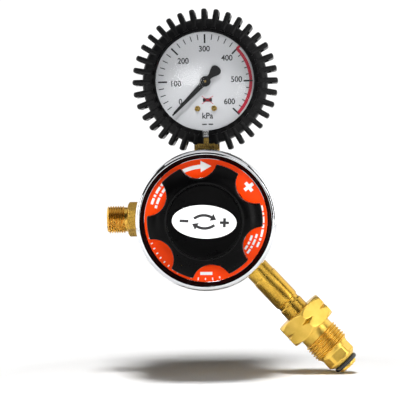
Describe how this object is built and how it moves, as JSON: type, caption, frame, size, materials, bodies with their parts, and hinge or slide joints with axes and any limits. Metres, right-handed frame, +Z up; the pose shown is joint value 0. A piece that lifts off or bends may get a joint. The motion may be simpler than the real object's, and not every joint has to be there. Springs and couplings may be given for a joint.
{
  "type": "gas regulator",
  "caption": "Fuel-gas regulator: chromed bonnet with a lobed adjusting knob, booted pressure gauge on top, threaded outlet and a union-nut inlet.",
  "frame": {"origin": "on the inlet's axis, in the middle of the union nut's thread", "axes": "+Z up, along the gauge's port; -X along the outlet; -Y towards the user, along the adjusting axis. The inlet points down and to +X, 47.5 degrees below +X."},
  "size_m": [0.1408, 0.0924, 0.2089],
  "materials": {
    "regulator_body": "forged, satin",
    "valve_nozzle": "machined",
    "valve_poppet": "machined",
    "valve_seat_disc": "matt",
    "valve_spring": "plain",
    "rear_plug": "machined",
    "rear_plug_o_ring": "matt",
    "diaphragm": "fabric-reinforced, matt",
    "diaphragm_slip_ring": "plain",
    "diaphragm_plate": "turned",
    "diaphragm_backing_plate": "pressed",
    "diaphragm_nut": "machined",
    "adjusting_spring": "plain",
    "spring_button": "plain",
    "adjusting_screw": "plain",
    "screw_retaining_clip": "plain",
    "bonnet": "polished chrome plate",
    "face_label": "printed film",
    "knob": "moulded, slightly glossy",
    "knob_cap": "moulded, slightly glossy",
    "knob_label": "printed film",
    "outlet_fitting": "machined",
    "inlet_stem": "machined",
    "inlet_filter": "sintered bronze",
    "union_nut": "machined",
    "inlet_nose": "machined",
    "inlet_nose_o_ring": "satin",
    "gauge_socket": "machined",
    "gauge_case": "black enamel",
    "gauge_bezel": "bright",
    "gauge_window": "clear",
    "gauge_dial": "satin silver-white, printed scale",
    "gauge_dial_screws": "machined",
    "gauge_pointer": "black enamel",
    "gauge_pinion_shaft": "machined",
    "gauge_sector": "machined",
    "gauge_link": "machined",
    "gauge_tube_tip": "machined",
    "gauge_bourdon_tube": "drawn bronze",
    "gauge_front_plate": "machined",
    "gauge_back_plate": "machined",
    "gauge_pillars": "machined",
    "gauge_movement_screws": "plain",
    "gauge_hairspring": "phosphor bronze strip",
    "gauge_blowout_plug": "matt",
    "gauge_boot": "moulded, satin"
  },
  "bodies": {
    "regulator": {"regulator_body": "regulator_body", "valve_nozzle": "valve_nozzle", "valve_spring": "valve_spring", "rear_plug": "rear_plug", "rear_plug_o_ring": "rear_plug_o_ring", "diaphragm": "diaphragm", "diaphragm_slip_ring": "diaphragm_slip_ring", "adjusting_spring": "adjusting_spring", "bonnet": "bonnet", "face_label": "face_label", "outlet_fitting": "outlet_fitting", "inlet_stem": "inlet_stem", "inlet_filter": "inlet_filter", "inlet_nose": "inlet_nose", "inlet_nose_o_ring": "inlet_nose_o_ring", "gauge_socket": "gauge_socket", "gauge_case": "gauge_case", "gauge_bezel": "gauge_bezel", "gauge_window": "gauge_window", "gauge_dial": "gauge_dial", "gauge_dial_screws": "gauge_dial_screws", "gauge_bourdon_tube": "gauge_bourdon_tube", "gauge_front_plate": "gauge_front_plate", "gauge_back_plate": "gauge_back_plate", "gauge_pillars": "gauge_pillars", "gauge_movement_screws": "gauge_movement_screws", "gauge_hairspring": "gauge_hairspring", "gauge_blowout_plug": "gauge_blowout_plug", "gauge_boot": "gauge_boot"},
    "button": {"spring_button": "spring_button"},
    "knob": {"knob": "knob", "knob_cap": "knob_cap", "knob_label": "knob_label", "adjusting_screw": "adjusting_screw", "screw_retaining_clip": "screw_retaining_clip"},
    "diaphragm_stack": {"diaphragm_plate": "diaphragm_plate", "diaphragm_backing_plate": "diaphragm_backing_plate", "diaphragm_nut": "diaphragm_nut"},
    "poppet": {"valve_poppet": "valve_poppet", "valve_seat_disc": "valve_seat_disc"},
    "union_nut": {"union_nut": "union_nut"},
    "sector": {"gauge_sector": "gauge_sector"},
    "link": {"gauge_link": "gauge_link"},
    "tube_tip": {"gauge_tube_tip": "gauge_tube_tip"},
    "pointer": {"gauge_pointer": "gauge_pointer", "gauge_pinion_shaft": "gauge_pinion_shaft"}
  },
  "joints": [
    {"name": "screw_travel", "type": "slide", "parent": "regulator", "child": "button", "axis": [0, 1, 0], "range_m": [0, 0.00525], "deforming": ["adjusting_spring"]},
    {"name": "knob_turn", "type": "hinge", "parent": "button", "child": "knob", "pos_m": [-0.06611, -0.007, 0.07214], "axis": [0, 1, 0], "range_deg": [0, 1080]},
    {"name": "diaphragm_lift", "type": "slide", "parent": "regulator", "child": "diaphragm_stack", "axis": [0, 1, 0], "range_m": [0, 0.0012], "stiffness_N_per_m": 15000, "deforming": ["diaphragm"]},
    {"name": "poppet_lift", "type": "slide", "parent": "regulator", "child": "poppet", "axis": [0, 1, 0], "range_m": [0, 0.0012], "stiffness_N_per_m": 1400, "deforming": ["valve_spring"]},
    {"name": "nut_spin", "type": "hinge", "parent": "regulator", "child": "union_nut", "pos_m": [0, 0, 0], "axis": [0.6756, 0, -0.7373], "continuous": true},
    {"name": "sector_swing", "type": "hinge", "parent": "regulator", "child": "sector", "pos_m": [-0.0555, 0, 0.13934], "axis": [0, -1, 0], "range_deg": [0, 30], "stiffness_Nm_per_rad": 0.002, "deforming": ["gauge_bourdon_tube", "gauge_hairspring"]},
    {"name": "link_swing", "type": "hinge", "parent": "sector", "child": "link", "pos_m": [-0.05197, 0, 0.1358], "axis": [0, -1, 0], "range_deg": [-28, 0]},
    {"name": "tip_swing", "type": "hinge", "parent": "regulator", "child": "tube_tip", "pos_m": [-0.06611, 0, 0.15394], "axis": [0, -1, 0], "range_deg": [0, 7]},
    {"name": "pointer_spin", "type": "hinge", "parent": "regulator", "child": "pointer", "pos_m": [-0.06611, 0, 0.14994], "axis": [0, 1, 0], "range_deg": [0, 270]}
  ],
  "couplings": [
    {"joint": "knob_turn", "follows": "screw_travel", "rad_per_m": 3590.4},
    {"joint": "poppet_lift", "follows": "diaphragm_lift", "ratio": 1},
    {"joint": "pointer_spin", "follows": "sector_swing", "ratio": 9},
    {"joint": "link_swing", "follows": "sector_swing", "ratio": -0.90863},
    {"joint": "tip_swing", "follows": "sector_swing", "ratio": 0.22024}
  ]
}
